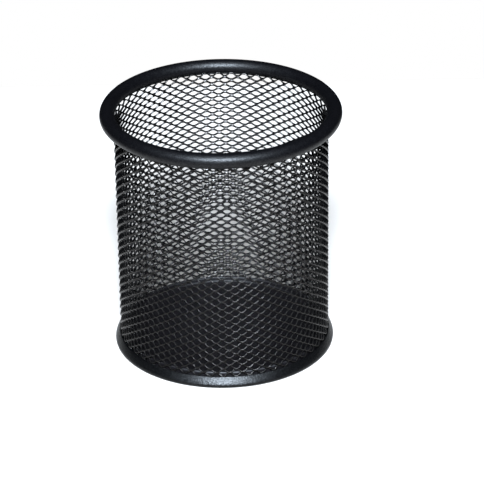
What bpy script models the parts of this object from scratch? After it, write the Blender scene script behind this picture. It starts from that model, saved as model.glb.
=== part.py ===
"""Round desk cup for pens: an expanded-steel wall between a rolled rim and a pressed base.

Four steel pieces share one upright axis, and each is a sheet turned about it. A piece is
described by the middle line of its sheet, as (radius, height) points, and by the sheet's
thickness. Lengths in the constants are millimetres. The origin is the middle of the base,
on the surface that the cup stands on, with +Z up.
"""

import math

import bpy
from mathutils import Vector

MM = 0.001

# How finely round shapes are divided: about the axis, then across each sheet.
SEGMENTS = 64
RIM_STEPS = 18
WALL_BEND_STEPS = 4
CORNER_STEPS = 3
SKIRT_STEPS = 5
LIP_FOLD_STEPS = 5

# The whole cup.
HEIGHT = 98.0
WALL_RADIUS = 39.8
WALL_SHEET = 0.4

# The rim is a steel strip rolled into a tube, with a slit that takes the wall's top edge.
RIM_TUBE_RADIUS = 2.93
RIM_RING_RADIUS = 42.65
RIM_SHEET = 0.6
SLIT_ANGLE = math.radians(222)
SLIT_HALF_ANGLE = math.radians(17)
WALL_BEND = 1.6
WALL_TUCK = 1.1

# The base ring is a channel: a flared skirt outside, a flat foot, and a low inner fold.
RING_SHEET = 0.5
RING_FOOT_INNER = 37.0
RING_FOLD_HEIGHT = 2.2
RING_FOLD_BEND = 0.5
SKIRT_RADIUS = 42.35
SKIRT_CORNER = 0.5
SKIRT_TOP_RADIUS = 40.65
SKIRT_TOP = 3.85
WALL_FOOT = 1.0

# The base pan is a floor whose edge stands up inside the wall and is folded back down.
PAN_SHEET = 0.5
FLOOR_HEIGHT = 3.0
LIP_RADIUS = 37.95
LIP_FOLD = 0.4
LIP_TOP = 5.2
LIP_BEND = 0.8
LIP_FOOT = 1.0

RIM_CENTRE = Vector((RIM_RING_RADIUS, HEIGHT - RIM_TUBE_RADIUS))


def arc(centre, radius, start, end, steps):
    """Points on an arc in the (radius, height) plane, both ends included."""
    angles = [start + (end - start) * i / steps for i in range(steps + 1)]
    return [Vector(centre) + radius * Vector((math.cos(a), math.sin(a))) for a in angles]


def side_direction(line, i):
    """The unit vector square to the line at its point i, to the left of its travel."""
    along = line[min(i + 1, len(line) - 1)] - line[max(i - 1, 0)]
    return Vector((-along.y, along.x)).normalized()


def sheet_outline(middle_line, thickness):
    """The outline of a sheet that follows a middle line, clockwise with the axis at the left."""
    line = [Vector(point) for point in middle_line]
    sides = [side_direction(line, i) * thickness / 2 for i in range(len(line))]
    outline = [p + s for p, s in zip(line, sides)]
    outline += [p - s for p, s in reversed(list(zip(line, sides)))]
    turned_area = sum(a.cross(b) for a, b in zip(outline, outline[1:] + outline[:1]))
    if turned_area > 0:
        outline.reverse()
    return outline


def painted_steel(name, colour, roughness):
    """Black powder coat over steel."""
    material = bpy.data.materials.new(name)
    material.use_nodes = True
    shader = material.node_tree.nodes["Principled BSDF"]
    shader.inputs["Base Color"].default_value = (*colour, 1.0)
    shader.inputs["Roughness"].default_value = roughness
    shader.inputs["Metallic"].default_value = 0.0
    material.diffuse_color = (*colour, 1.0)
    return material


def turned_piece(name, outline, material):
    """A solid turned about the upright axis. An outline that meets the axis is left open there."""
    points = [(p.x * MM, 0.0, p.y * MM) for p in outline]
    edges = [(i, (i + 1) % len(points)) for i in range(len(points))]
    edges = [(a, b) for a, b in edges if points[a][0] > 0 or points[b][0] > 0]
    mesh = bpy.data.meshes.new(name)
    mesh.from_pydata(points, edges, [])
    mesh.materials.append(material)
    piece = bpy.data.objects.new(name, mesh)
    bpy.context.scene.collection.objects.link(piece)
    turn = piece.modifiers.new("turn", "SCREW")
    turn.axis = "Z"
    turn.angle = math.tau
    turn.steps = SEGMENTS
    turn.render_steps = SEGMENTS
    turn.use_merge_vertices = True
    turn.merge_threshold = 0.00001
    turn.use_smooth_shade = True
    return piece


def top_rim():
    """The rolled tube, open along its slit so that its hollow isn't sealed."""
    middle = RIM_TUBE_RADIUS - RIM_SHEET / 2
    start = SLIT_ANGLE + SLIT_HALF_ANGLE
    end = SLIT_ANGLE - SLIT_HALF_ANGLE + math.tau
    line = arc(RIM_CENTRE, middle, start, end, RIM_STEPS)
    material = painted_steel("rim_paint", (0.020, 0.021, 0.024), 0.38)
    return turned_piece("top_rim", sheet_outline(line, RIM_SHEET), material)


def mesh_wall():
    """The expanded-steel wall as a plain thin tube, bent outwards into the rim's slit."""
    inward = Vector((-math.cos(SLIT_ANGLE), -math.sin(SLIT_ANGLE)))
    slit = RIM_CENTRE - inward * (RIM_TUBE_RADIUS - RIM_SHEET / 2)
    turned = math.pi / 2 - math.atan2(inward.y, inward.x)
    bend_width = WALL_BEND * (1 - math.cos(turned))
    straight = (slit.x - WALL_RADIUS - bend_width) / inward.x
    bend_top = slit - inward * straight
    bend_start = bend_top.y - WALL_BEND * math.sin(turned)
    centre = (WALL_RADIUS + WALL_BEND, bend_start)
    line = [Vector((WALL_RADIUS, WALL_FOOT))]
    line += arc(centre, WALL_BEND, math.pi, math.pi - turned, WALL_BEND_STEPS)
    line.append(slit + inward * WALL_TUCK)
    material = painted_steel("mesh_paint", (0.018, 0.019, 0.021), 0.42)
    return turned_piece("mesh_wall", sheet_outline(line, WALL_SHEET), material)


def base_ring():
    """The channel that holds the wall's lower edge and stands on the desk."""
    half = RING_SHEET / 2
    fold_centre = (RING_FOOT_INNER + RING_FOLD_BEND, half + RING_FOLD_BEND)
    corner_centre = (SKIRT_RADIUS - half - SKIRT_CORNER, half + SKIRT_CORNER)
    line = [Vector((RING_FOOT_INNER, RING_FOLD_HEIGHT))]
    line += arc(fold_centre, RING_FOLD_BEND, math.pi, 1.5 * math.pi, CORNER_STEPS)
    line += arc(corner_centre, SKIRT_CORNER, 1.5 * math.pi, math.tau, CORNER_STEPS)
    start = line[-1]
    for i in range(1, SKIRT_STEPS + 1):
        t = i / SKIRT_STEPS
        radius = start.x + (SKIRT_TOP_RADIUS - start.x) * t * t
        line.append(Vector((radius, start.y + (SKIRT_TOP - start.y) * t)))
    material = painted_steel("ring_paint", (0.020, 0.021, 0.024), 0.40)
    return turned_piece("base_ring", sheet_outline(line, RING_SHEET), material)


def base_pan():
    """The floor of the cup, with its folded lip inside the wall."""
    bend_centre = (LIP_RADIUS - LIP_BEND, FLOOR_HEIGHT + LIP_BEND)
    fold_centre = (LIP_RADIUS + LIP_FOLD, LIP_TOP - PAN_SHEET / 2 - LIP_FOLD)
    line = [Vector((0.0, FLOOR_HEIGHT))]
    line += arc(bend_centre, LIP_BEND, -math.pi / 2, 0, CORNER_STEPS)
    line += arc(fold_centre, LIP_FOLD, math.pi, 0, LIP_FOLD_STEPS)
    line.append(Vector((LIP_RADIUS + 2 * LIP_FOLD, LIP_FOOT)))
    material = painted_steel("pan_paint", (0.022, 0.022, 0.026), 0.50)
    return turned_piece("base_pan", sheet_outline(line, PAN_SHEET), material)


for old in list(bpy.data.objects):
    bpy.data.objects.remove(old)

cup = bpy.data.objects.new("pen_cup", None)
bpy.context.scene.collection.objects.link(cup)
for make in (top_rim, mesh_wall, base_ring, base_pan):
    make().parent = cup
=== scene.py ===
"""Looks of a black mesh pen cup: an expanded-steel wall held by a rolled rim, a base ring and a base pan.

Lengths are metres. Outer sizes are read from the frame's boxes and nodes. The constants repeat the
sheet thicknesses, bends and slit of the CAD pieces, and add what those leave plain: the strands of
the mesh, the knee of the base ring, the coats, the camera and the studio.
"""

import math
from collections import namedtuple

import bmesh
import bpy
import numpy as np
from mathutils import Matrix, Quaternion, Vector


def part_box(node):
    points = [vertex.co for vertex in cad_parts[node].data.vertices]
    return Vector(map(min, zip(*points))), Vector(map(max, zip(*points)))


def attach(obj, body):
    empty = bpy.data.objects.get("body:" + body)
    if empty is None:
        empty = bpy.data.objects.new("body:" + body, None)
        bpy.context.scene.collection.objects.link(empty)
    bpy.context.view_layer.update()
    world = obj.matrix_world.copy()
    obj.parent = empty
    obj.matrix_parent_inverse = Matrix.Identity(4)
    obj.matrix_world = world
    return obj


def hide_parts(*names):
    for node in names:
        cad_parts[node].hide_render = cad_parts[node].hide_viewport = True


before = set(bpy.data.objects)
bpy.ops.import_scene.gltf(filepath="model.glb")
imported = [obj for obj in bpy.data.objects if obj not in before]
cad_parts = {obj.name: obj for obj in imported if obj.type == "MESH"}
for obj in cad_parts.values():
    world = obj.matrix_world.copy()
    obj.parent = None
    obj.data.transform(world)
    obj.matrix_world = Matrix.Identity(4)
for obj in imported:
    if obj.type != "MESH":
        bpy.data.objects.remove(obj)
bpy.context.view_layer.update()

MM = 0.001
BODY = "root"

# How finely turned pieces are divided: about the axis, then across the rounds of their sheet.
TURN_STEPS = 256
RIM_STEPS = 40
BEND_STEPS = 6
EDGE_STEPS = 4
PAN_RINGS = 12
WALL_BEND_STEPS = 12
WELD = 0.001 * MM

# Rim: a strip rolled into a tube, with a slit that takes the wall's top edge.
RIM_SHEET = 0.6 * MM
SLIT_ANGLE = math.radians(222)
SLIT_HALF_ANGLE = math.radians(17)

# Base ring: an inner fold, a flat foot, then a knee and a straight skirt that leans in.
RING_SHEET = 0.5 * MM
RING_BEND = 0.5 * MM
RING_FOLD_HEIGHT = 2.2 * MM
SKIRT_FOOT = 0.8 * MM
SKIRT_BEND = 1.2 * MM
SKIRT_LEAN = math.radians(31)

# Base pan: a floor whose edge stands up inside the wall and is folded back down.
PAN_SHEET = 0.5 * MM
PAN_FLOOR = 3.0 * MM
FLAT_SHARE = 0.95
LIP_FOLD = 0.4 * MM
LIP_BEND = 0.8 * MM
LIP_FOOT = 1.0 * MM

# Wall: the path that the mesh follows up the cup.
WALL_SHEET = 0.4 * MM
WALL_BEND = 1.6 * MM
WALL_TUCK = 1.8 * MM

# Mesh: its cells, and the section of its strands. The rows of cells lie a little out of level.
CELL_TURN = math.radians(7.115)
CELL_HEIGHT = 3.174 * MM
STRIP_CELLS = 51
STRIP_START = math.radians(-1.4975)
FIRST_ROW = 2.51 * MM
ROW_TILT = 0.6 * MM
STRAND_WIDTH = 0.7 * MM
STRAND_SHEET = 0.5 * MM
STRAND_LEAN = math.radians(42)
ROUND_LOOK = 50

# A strand's wave over one cell. It stays level along each bond, at its crest and at its trough.
HALF_BOND = 0.07
WAVE_PLACES = np.array([-HALF_BOND, HALF_BOND, 0.18, 0.32, 0.5 - HALF_BOND, 0.5 + HALF_BOND, 0.68, 0.82])
WAVE = np.array([1.0, 1.0, 0.5, -0.5, -1.0, -1.0, -0.5, 0.5])

# Powder coats. The grain is a share of GRAIN_DEPTH, and the sheen is the colour of the gloss.
Coat = namedtuple("Coat", "colour roughness grain gloss sheen")
WHITE = (1.0, 1.0, 1.0)
RIM_COAT = Coat((0.0012, 0.0011, 0.0015), 0.4, 0.5, 0.23, WHITE)
RING_COAT = Coat((0.0009, 0.0009, 0.001), 0.35, 0.7, 0.24, WHITE)
PAN_COAT = Coat((0.002, 0.0013, 0.0019), 0.5, 0.5, 0.4, WHITE)
MESH_COAT = Coat((0.0009, 0.0009, 0.001), 0.26, 0.2, 0.42, (1.0, 0.93, 0.88))
COAT_IOR = 1.5
PATCH_SCALE = 90.0
PATCH_SHADES = (0.8, 1.25)
SHEEN_SCALE = 700.0
SHEEN_CHANGE = (-0.04, 0.06)
GRAIN_SCALE = 1900.0
GRAIN_DEPTH = 0.00018
SPECK_GLOSS = (0.5, 1.5)
NOISE_SPAN = (0.3, 0.7)

# Camera, as fitted to the photo's outline.
CAMERA_TARGET = Vector((0.0, 0.0, 0.049))
CAMERA_DISTANCE = 1.0504
CAMERA_ELEVATION = math.radians(26.777)
CAMERA_ROLL = math.radians(0.99)
CAMERA_TILT = math.radians(-0.588)
CAMERA_PAN = math.radians(-0.403)
CAMERA_LENS = 197.8
CAMERA_SENSOR = 36.0
CAMERA_CLIP = (0.01, 50.0)

# Studio. A lamp's place is its azimuth, elevation and distance from the camera's target. The floor's
# tint offsets most of the lamps' blue.
SOFTBOX_COLOUR = (0.755, 0.868, 1.0)
KEY_PLACE = (0.0, math.radians(41), 4.0)
KEY_SIZE = (0.8, 1.0)
KEY_POWER = 775.0
TOP_PLACE = (0.0, math.radians(70), 1.2)
TOP_SIZE = (0.5, 0.6)
TOP_POWER = 6.0
SURROUND = (0.009, 0.0095, 0.01)
FLOOR_GAP = 0.2 * MM
FLOOR_FRONT = 4.0
FLOOR_SIDE = 0.25
FLOOR_BACK = 0.24
FLOOR_TINT = (0.96, 0.87, 0.785)
FLOOR_SEEN = 0.585
FLOOR_REFLECTED = 0.45


# ---- outlines in the (radius, height) plane ----


def node_points(name):
    """A CAD node's vertices as (radius, height)."""
    points = np.array([v.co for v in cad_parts[name].data.vertices], float)
    return np.stack([np.hypot(points[:, 0], points[:, 1]), points[:, 2]], axis=1)


def arc(centre, radius, start, end, steps):
    """Points on an arc, both ends included."""
    angles = np.linspace(start, end, steps + 1)
    return np.asarray(centre) + radius * np.stack([np.cos(angles), np.sin(angles)], axis=1)


def side_directions(line):
    """Unit vectors square to a line at each of its points, to the left of its travel."""
    along = np.gradient(line, axis=0)
    along /= np.linalg.norm(along, axis=1)[:, None]
    return np.stack([-along[:, 1], along[:, 0]], axis=1)


def round_edge(end, side, half):
    """Points on the half-round edge of a sheet, from its left side to its right."""
    turns = np.linspace(0, math.pi, EDGE_STEPS + 1)[1:-1, None]
    beyond = np.array([side[1], -side[0]])
    return end + half * (np.cos(turns) * side + np.sin(turns) * beyond)


def sheet_section(line, thickness):
    """A closed outline round the middle line of a sheet, with half-round edges at both ends."""
    sides = side_directions(line)
    half = thickness / 2
    far_edge = round_edge(line[-1], sides[-1], half)
    near_edge = round_edge(line[0], -sides[0], half)
    return np.concatenate([line + sides * half, far_edge, (line - sides * half)[::-1], near_edge])


def disc_section(line, thickness):
    """The outline of a sheet that starts on the axis, so that only its far end has a rounded edge."""
    sides = side_directions(line)
    sides[0] = (0, 1)
    half = thickness / 2
    edge = round_edge(line[-1], sides[-1], half)
    return np.concatenate([line + sides * half, edge, (line - sides * half)[::-1]])


# ---- pieces ----


def new_piece(name, points, faces, material):
    """A smooth mesh piece."""
    mesh = bpy.data.meshes.new(name)
    mesh.from_pydata(points, [], faces)
    mesh.validate()
    mesh.materials.append(material)
    mesh.shade_smooth()
    piece = bpy.data.objects.new(name, mesh)
    bpy.context.scene.collection.objects.link(piece)
    return piece


def turned_piece(name, outline, material):
    """A closed outline turned about the upright axis, with its faces pointing out."""
    count = len(outline)
    following = np.roll(outline, -1, axis=0)
    if np.sum(outline[:, 0] * following[:, 1] - outline[:, 1] * following[:, 0]) > 0:
        outline = outline[::-1]
    angles = np.linspace(0, math.tau, TURN_STEPS, endpoint=False)
    across = np.outer(np.cos(angles), outline[:, 0])
    deep = np.outer(np.sin(angles), outline[:, 0])
    height = np.broadcast_to(outline[:, 1], (TURN_STEPS, count))
    points = np.stack([across, deep, height], axis=2).reshape(-1, 3)

    turn = np.arange(TURN_STEPS)[:, None] * count
    next_turn = np.roll(turn, -1, axis=0)
    here = np.arange(count)[None]
    after = np.roll(here, -1, axis=1)
    quads = np.stack([turn + here, turn + after, next_turn + after, next_turn + here], axis=2)
    return new_piece(name, points, quads.reshape(-1, 4).tolist(), material)


def weld_axis(mesh):
    """Makes each ring of points on the axis one point."""
    shape = bmesh.new()
    shape.from_mesh(mesh)
    bmesh.ops.remove_doubles(shape, verts=shape.verts, dist=WELD)
    shape.to_mesh(mesh)
    shape.free()


def powder_coat(name, coat):
    """Black powder coat: slow changes in colour and gloss, and a grain of brighter and duller specks."""
    material = bpy.data.materials.new(name)
    material.use_nodes = True
    nodes = material.node_tree.nodes
    links = material.node_tree.links
    shader = nodes["Principled BSDF"]
    shader.inputs["Metallic"].default_value = 0.0
    shader.inputs["IOR"].default_value = COAT_IOR
    shader.inputs["Specular Tint"].default_value = (*coat.sheen, 1.0)
    place = nodes.new("ShaderNodeTexCoord")

    def noise(scale, detail):
        node = nodes.new("ShaderNodeTexNoise")
        node.inputs["Scale"].default_value = scale
        node.inputs["Detail"].default_value = detail
        links.new(place.outputs["Object"], node.inputs["Vector"])
        return node.outputs["Fac"]

    def spread(value, low, high):
        node = nodes.new("ShaderNodeMapRange")
        node.inputs["From Min"].default_value = NOISE_SPAN[0]
        node.inputs["From Max"].default_value = NOISE_SPAN[1]
        node.inputs["To Min"].default_value = low
        node.inputs["To Max"].default_value = high
        links.new(value, node.inputs["Value"])
        return node.outputs["Result"]

    shade = nodes.new("ShaderNodeMix")
    shade.data_type = "RGBA"
    for socket, share in zip("AB", PATCH_SHADES):
        shade.inputs[socket].default_value = (*(part * share for part in coat.colour), 1.0)
    links.new(noise(PATCH_SCALE, 3.0), shade.inputs["Factor"])
    links.new(shade.outputs["Result"], shader.inputs["Base Color"])

    roughness = spread(noise(SHEEN_SCALE, 4.0), *(coat.roughness + change for change in SHEEN_CHANGE))
    links.new(roughness, shader.inputs["Roughness"])

    grain = noise(GRAIN_SCALE, 2.0)
    gloss = spread(grain, *(coat.gloss * share for share in SPECK_GLOSS))
    links.new(gloss, shader.inputs["Specular IOR Level"])
    bump = nodes.new("ShaderNodeBump")
    bump.inputs["Strength"].default_value = coat.grain
    bump.inputs["Distance"].default_value = GRAIN_DEPTH
    links.new(grain, bump.inputs["Height"])
    links.new(bump.outputs["Normal"], shader.inputs["Normal"])
    return material


def rim_tube():
    """The tube's radius and the (radius, height) of its centre."""
    low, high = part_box("top_rim")
    radius = (high.z - low.z) / 2
    return radius, np.array([high.x - radius, high.z - radius])


def rim():
    radius, centre = rim_tube()
    start = SLIT_ANGLE + SLIT_HALF_ANGLE
    end = SLIT_ANGLE - SLIT_HALF_ANGLE + math.tau
    line = arc(centre, radius - RIM_SHEET / 2, start, end, RIM_STEPS)
    material = powder_coat("rim_powder_coat", RIM_COAT)
    return turned_piece("rim_tube", sheet_section(line, RIM_SHEET), material)


def ring():
    low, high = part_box("base_ring")
    inner = node_points("base_ring")[:, 0].min() + RING_SHEET / 2
    outer = high.x - RING_SHEET / 2
    foot = low.z + RING_SHEET / 2 + RING_BEND
    knee = arc((outer - SKIRT_BEND, SKIRT_FOOT), SKIRT_BEND, 0, SKIRT_LEAN, BEND_STEPS)
    rise = high.z - RING_SHEET / 2 - knee[-1][1]
    line = np.concatenate(
        [
            [(inner, RING_FOLD_HEIGHT)],
            arc((inner + RING_BEND, foot), RING_BEND, math.pi, 1.5 * math.pi, BEND_STEPS),
            arc((outer - RING_BEND, foot), RING_BEND, 1.5 * math.pi, math.tau, BEND_STEPS),
            knee,
            [(knee[-1][0] - rise * math.tan(SKIRT_LEAN), knee[-1][1] + rise)],
        ]
    )
    material = powder_coat("ring_powder_coat", RING_COAT)
    return turned_piece("foot_ring", sheet_section(line, RING_SHEET), material)


def pan():
    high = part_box("base_pan")[1]
    outer = high.x - PAN_SHEET / 2
    lip = outer - 2 * LIP_FOLD
    fold = (lip + LIP_FOLD, high.z - PAN_SHEET / 2 - LIP_FOLD)
    line = np.concatenate(
        [
            [(lip * share, PAN_FLOOR) for share in np.linspace(0, FLAT_SHARE, PAN_RINGS)],
            arc((lip - LIP_BEND, PAN_FLOOR + LIP_BEND), LIP_BEND, -math.pi / 2, 0, BEND_STEPS),
            arc(fold, LIP_FOLD, math.pi, 0, 2 * BEND_STEPS),
            [(outer, LIP_FOOT)],
        ]
    )
    material = powder_coat("pan_powder_coat", PAN_COAT)
    piece = turned_piece("floor_pan", disc_section(line, PAN_SHEET), material)
    weld_axis(piece.data)
    return piece


def wall_path():
    """The wall's middle line: straight up, then out through the rim's slit."""
    points = node_points("mesh_wall")
    radius = points[:, 0].min() + WALL_SHEET / 2
    foot = points[:, 1].min()
    tube, centre = rim_tube()
    inward = -np.array([math.cos(SLIT_ANGLE), math.sin(SLIT_ANGLE)])
    slit = centre - inward * (tube - RIM_SHEET / 2)
    turned = math.pi / 2 - math.atan2(inward[1], inward[0])
    straight = (slit[0] - radius - WALL_BEND * (1 - math.cos(turned))) / inward[0]
    bend_top = slit - inward * straight
    bend_start = bend_top[1] - WALL_BEND * math.sin(turned)
    bend = arc((radius + WALL_BEND, bend_start), WALL_BEND, math.pi, math.pi - turned, WALL_BEND_STEPS)
    return np.concatenate([[(radius, foot)], bend, [slit + inward * WALL_TUCK]])


def on_path(path, reach, up, out):
    """The (radius, height) of points this far along the wall's path and this far out from it."""
    along = np.gradient(path, axis=0)
    slope = np.interp(up, reach, np.arctan2(along[:, 1], along[:, 0]))
    radius = np.interp(up, reach, path[:, 0]) + out * np.sin(slope)
    height = np.interp(up, reach, path[:, 1]) - out * np.cos(slope)
    return radius, height


def share_corners(index, wave):
    """Makes the lower corners of each trough the same points as the upper corners of the crest below."""
    for row in range(1, len(index)):
        trough = wave[row] == -1.0
        index[row, trough, 0] = index[row - 1, trough, 1]
        index[row, trough, 3] = index[row - 1, trough, 2]


def strand_faces(index, wave):
    """The strands' sides and ends, without the sides that are joined in a bond."""
    crest_bond = (wave[:, :-1] == 1.0) & (wave[:, 1:] == 1.0)
    crest_bond[-1] = False
    trough_bond = (wave[:, :-1] == -1.0) & (wave[:, 1:] == -1.0)
    trough_bond[0] = False
    nothing = np.zeros_like(crest_bond)
    faces = [index[:, 0, ::-1], index[:, -1]]
    for corner, joined in enumerate((nothing, crest_bond, nothing, trough_bond)):
        here = index[:, :, corner]
        there = index[:, :, (corner + 1) % 4]
        sides = np.stack([here[:, :-1], here[:, 1:], there[:, 1:], there[:, :-1]], axis=2)
        faces.append(sides[~joined])
    return np.concatenate(faces)


def expanded_wall():
    """Wavy strands stacked up the wall. Where a crest meets the trough above it, the two are one."""
    path = wall_path()
    lengths = np.linalg.norm(np.diff(path, axis=0), axis=1)
    reach = np.concatenate([[0], np.cumsum(lengths)])
    lean_out = math.sin(STRAND_LEAN)
    lean_up = math.cos(STRAND_LEAN)
    pitch = CELL_HEIGHT / 2
    swing = (pitch - STRAND_WIDTH * lean_up) / 2
    room = reach[-1] - ROW_TILT - STRAND_WIDTH * lean_up / 2 - swing - FIRST_ROW
    rows = int(room / pitch) + 1

    # The strip starts and ends with a bond. Its ends lap a little.
    columns = len(WAVE) * STRIP_CELLS + 2
    cells = (np.arange(STRIP_CELLS + 1)[:, None] + WAVE_PLACES).reshape(-1)[:columns]
    angle = STRIP_START + cells[:, None] * CELL_TURN
    wave = np.tile(WAVE, STRIP_CELLS + 1)[:columns] * np.where(np.arange(rows) % 2, -1.0, 1.0)[:, None]

    # A strand's corners, as (up, out) from its middle: lower outer, upper outer, upper inner, lower inner.
    width = np.array([lean_up, lean_out]) * STRAND_WIDTH / 2
    sheet = np.array([-lean_out, lean_up]) * STRAND_SHEET / 2
    corners = np.array([sheet - width, sheet + width, width - sheet, -width - sheet])
    middle_up = FIRST_ROW + np.arange(rows)[:, None] * pitch + swing * wave + ROW_TILT * np.sin(angle.T)
    middle_out = -STRAND_WIDTH * lean_out / 2 * wave
    up = middle_up[:, :, None] + corners[:, 0]
    out = middle_out[:, :, None] + corners[:, 1]
    radius, height = on_path(path, reach, up, out)
    points = np.stack([radius * np.cos(angle), radius * np.sin(angle), height], axis=3).reshape(-1, 3)

    index = np.arange(rows * columns * 4).reshape(rows, columns, 4)
    share_corners(index, wave)
    used, index = np.unique(index, return_inverse=True)
    faces = strand_faces(index.reshape(rows, columns, 4), wave)
    material = powder_coat("mesh_powder_coat", MESH_COAT)
    piece = new_piece("expanded_wall", points[used], faces.tolist(), material)
    rounding = piece.modifiers.new("rounded_edges", "WEIGHTED_NORMAL")
    rounding.mode = "FACE_AREA"
    rounding.weight = ROUND_LOOK
    return piece


# ---- studio ----


def away(azimuth, elevation, distance):
    """A point at this distance from the camera's target, where azimuth 0 is towards -Y."""
    level = math.cos(elevation)
    side = Vector((math.sin(azimuth) * level, -math.cos(azimuth) * level, math.sin(elevation)))
    return CAMERA_TARGET + side * distance


def aim(place):
    """The rotation that looks from a place at the camera's target."""
    return (CAMERA_TARGET - place).to_track_quat("-Z", "Y")


def camera():
    data = bpy.data.cameras.new("camera")
    data.lens = CAMERA_LENS
    data.sensor_width = CAMERA_SENSOR
    data.clip_start, data.clip_end = CAMERA_CLIP
    eye = bpy.data.objects.new("camera", data)
    bpy.context.scene.collection.objects.link(eye)
    eye.location = away(0.0, CAMERA_ELEVATION, CAMERA_DISTANCE)
    eye.rotation_mode = "QUATERNION"
    roll = Quaternion((0, 0, 1), -CAMERA_ROLL)
    tilt = Quaternion((1, 0, 0), CAMERA_TILT)
    turn = Quaternion((0, 1, 0), CAMERA_PAN)
    eye.rotation_quaternion = aim(eye.location) @ roll @ tilt @ turn
    bpy.context.scene.camera = eye


def softbox(name, size, power, place):
    light = bpy.data.lights.new(name, "AREA")
    light.shape = "RECTANGLE"
    light.size, light.size_y = size
    light.energy = power
    light.color = SOFTBOX_COLOUR
    lamp = bpy.data.objects.new(name, light)
    lamp.location = away(*place)
    lamp.rotation_euler = aim(lamp.location).to_euler()
    bpy.context.scene.collection.objects.link(lamp)


def seen_or_reflected(tree, node_type, seen, reflected, surface):
    """One colour for what is looked at directly, and another for what lights and mirrors in the pieces."""
    choice = tree.nodes.new("ShaderNodeMixShader")
    rays = tree.nodes.new("ShaderNodeLightPath")
    tree.links.new(rays.outputs["Is Camera Ray"], choice.inputs["Fac"])
    for socket, colour in enumerate((reflected, seen), start=1):
        shader = tree.nodes.new(node_type)
        shader.inputs["Color"].default_value = (*colour, 1.0)
        tree.links.new(shader.outputs[0], choice.inputs[socket])
    tree.links.new(choice.outputs["Shader"], surface)


def surroundings():
    """White to the camera, and a dim blue-grey studio to the pieces."""
    world = bpy.data.worlds.new("studio")
    bpy.context.scene.world = world
    world.use_nodes = True
    tree = world.node_tree
    tree.nodes.remove(tree.nodes["Background"])
    surface = tree.nodes["World Output"].inputs["Surface"]
    seen_or_reflected(tree, "ShaderNodeBackground", WHITE, SURROUND, surface)


def studio_floor():
    """A white sheet under the cup. It ends a short way behind and beside it."""
    material = bpy.data.materials.new("white_sheet")
    material.use_nodes = True
    tree = material.node_tree
    tree.nodes.remove(tree.nodes["Principled BSDF"])
    seen, reflected = ([part * share for part in FLOOR_TINT] for share in (FLOOR_SEEN, FLOOR_REFLECTED))
    surface = tree.nodes["Material Output"].inputs["Surface"]
    seen_or_reflected(tree, "ShaderNodeBsdfDiffuse", seen, reflected, surface)

    mesh = bpy.data.meshes.new("studio_floor")
    corners = [
        (-FLOOR_SIDE, -FLOOR_FRONT, -FLOOR_GAP),
        (FLOOR_SIDE, -FLOOR_FRONT, -FLOOR_GAP),
        (FLOOR_SIDE, FLOOR_BACK, -FLOOR_GAP),
        (-FLOOR_SIDE, FLOOR_BACK, -FLOOR_GAP),
    ]
    mesh.from_pydata(corners, [], [(0, 1, 2, 3)])
    mesh.materials.append(material)
    floor = bpy.data.objects.new("studio_floor", mesh)
    bpy.context.scene.collection.objects.link(floor)


# Each CAD node, with what makes the piece that replaces it and the name of a material slot, which nothing
# here fills.
PIECES = (
    ("top_rim", rim, "rim_coat"),
    ("base_ring", ring, "base_ring_coat"),
    ("base_pan", pan, "base_pan_coat"),
    ("mesh_wall", expanded_wall, "mesh_coat"),
)

for node, make, slot in PIECES:
    piece = make()
    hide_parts(node)
    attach(piece, BODY)

camera()
softbox("key_softbox", KEY_SIZE, KEY_POWER, KEY_PLACE)
softbox("top_softbox", TOP_SIZE, TOP_POWER, TOP_PLACE)
surroundings()
studio_floor()
bpy.context.scene.view_settings.view_transform = "Standard"
